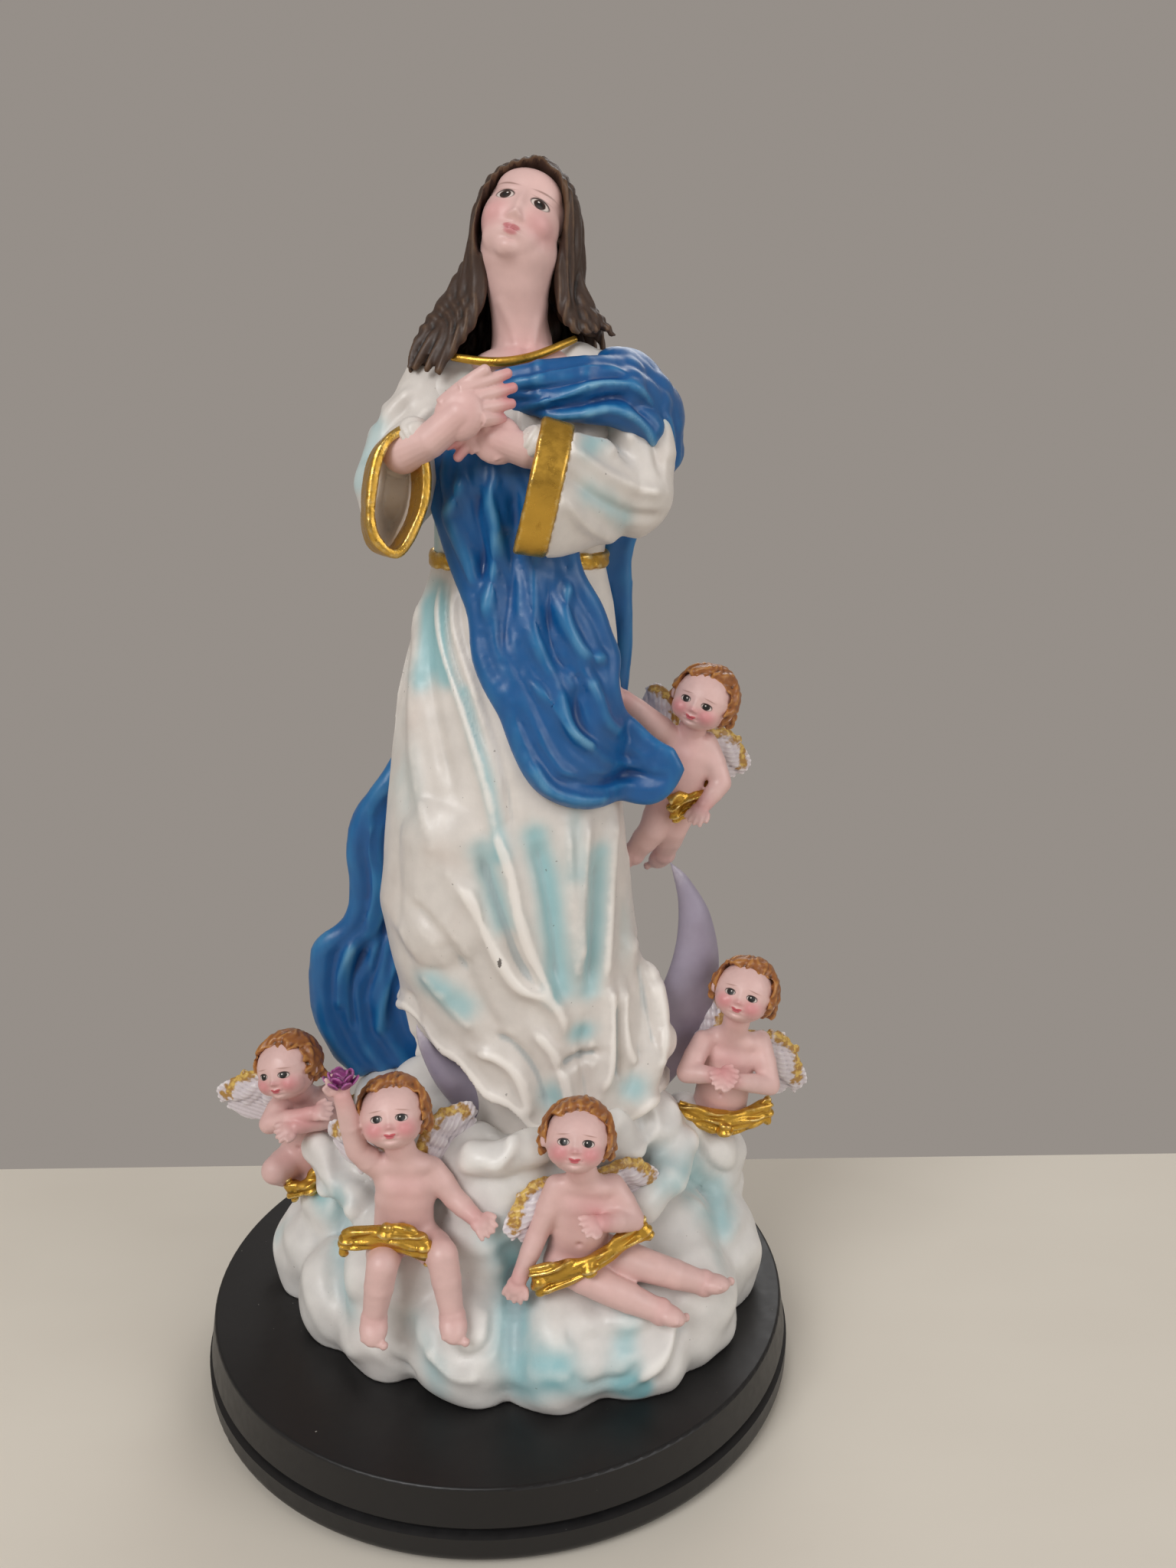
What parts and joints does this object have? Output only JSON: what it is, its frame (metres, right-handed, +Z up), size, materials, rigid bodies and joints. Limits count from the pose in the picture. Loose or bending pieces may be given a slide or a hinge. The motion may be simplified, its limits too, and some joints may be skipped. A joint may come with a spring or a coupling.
{
  "type": "madonna statue",
  "caption": "Painted resin figure of the Madonna in a blue mantle, standing on a crescent and a cloud with cherubs, on a round black plinth.",
  "frame": {"origin": "centre of the felt's underside, where the statue stands on a shelf", "axes": "+Z up, -Y the front that the figure faces, +X to the viewer's right"},
  "size_m": [0.1589, 0.155, 0.2978],
  "materials": {
    "felt": "dyed wool felt, matt",
    "plinth_lacquer": "black satin lacquer on turned MDF",
    "screw_steel": "zinc-plated steel",
    "cloud_resin": "white filled resin with aqua washes, satin",
    "robe_resin": "cream white filled resin with pale aqua airbrushing, satin",
    "gilding": "metallic gold paint on filled resin",
    "mantle_resin": "blue paint with lighter dry-brushed ridges on filled resin, satin",
    "crescent_resin": "pale lavender paint on filled resin, satin",
    "rose_resin": "purple paint on filled resin",
    "dark_hair_resin": "dark brown paint on filled resin",
    "auburn_hair_resin": "auburn paint on filled resin",
    "skin_resin": "pink flesh paint on filled resin, satin",
    "wing_resin": "off-white paint with gold flake on filled resin"
  },
  "bodies": {
    "root": {"belt": "gilding", "bodice": "robe_resin", "cloud_base": "cloud_resin", "crescent_moon": "crescent_resin", "felt_pad": "felt", "flying_cherub_body": "skin_resin", "flying_cherub_cloth": "gilding", "flying_cherub_hair": "auburn_hair_resin", "flying_cherub_left_wing": "wing_resin", "flying_cherub_right_wing": "wing_resin", "hair": "dark_hair_resin", "head": "skin_resin", "leaning_cherub_body": "skin_resin", "leaning_cherub_cloth": "gilding", "leaning_cherub_hair": "auburn_hair_resin", "leaning_cherub_left_wing": "wing_resin", "leaning_cherub_right_wing": "wing_resin", "left_cuff": "gilding", "left_hand": "skin_resin", "left_inner_sleeve": "robe_resin", "left_screw": "screw_steel", "left_sleeve": "robe_resin", "mantle_back": "mantle_resin", "mantle_front": "mantle_resin", "mantle_shoulder": "mantle_resin", "neck_trim": "gilding", "plinth": "plinth_lacquer", "praying_cherub_body": "skin_resin", "praying_cherub_cloth": "gilding", "praying_cherub_hair": "auburn_hair_resin", "praying_cherub_left_wing": "wing_resin", "praying_cherub_right_wing": "wing_resin", "right_cuff": "gilding", "right_hand": "skin_resin", "right_inner_sleeve": "robe_resin", "right_screw": "screw_steel", "right_sleeve": "robe_resin", "robe_skirt": "robe_resin", "rose": "rose_resin", "rose_cherub_body": "skin_resin", "rose_cherub_cloth": "gilding", "rose_cherub_hair": "auburn_hair_resin", "rose_cherub_left_wing": "wing_resin", "rose_cherub_right_wing": "wing_resin", "seated_cherub_body": "skin_resin", "seated_cherub_cloth": "gilding", "seated_cherub_hair": "auburn_hair_resin", "seated_cherub_left_wing": "wing_resin", "seated_cherub_right_wing": "wing_resin"}
  },
  "joints": []
}
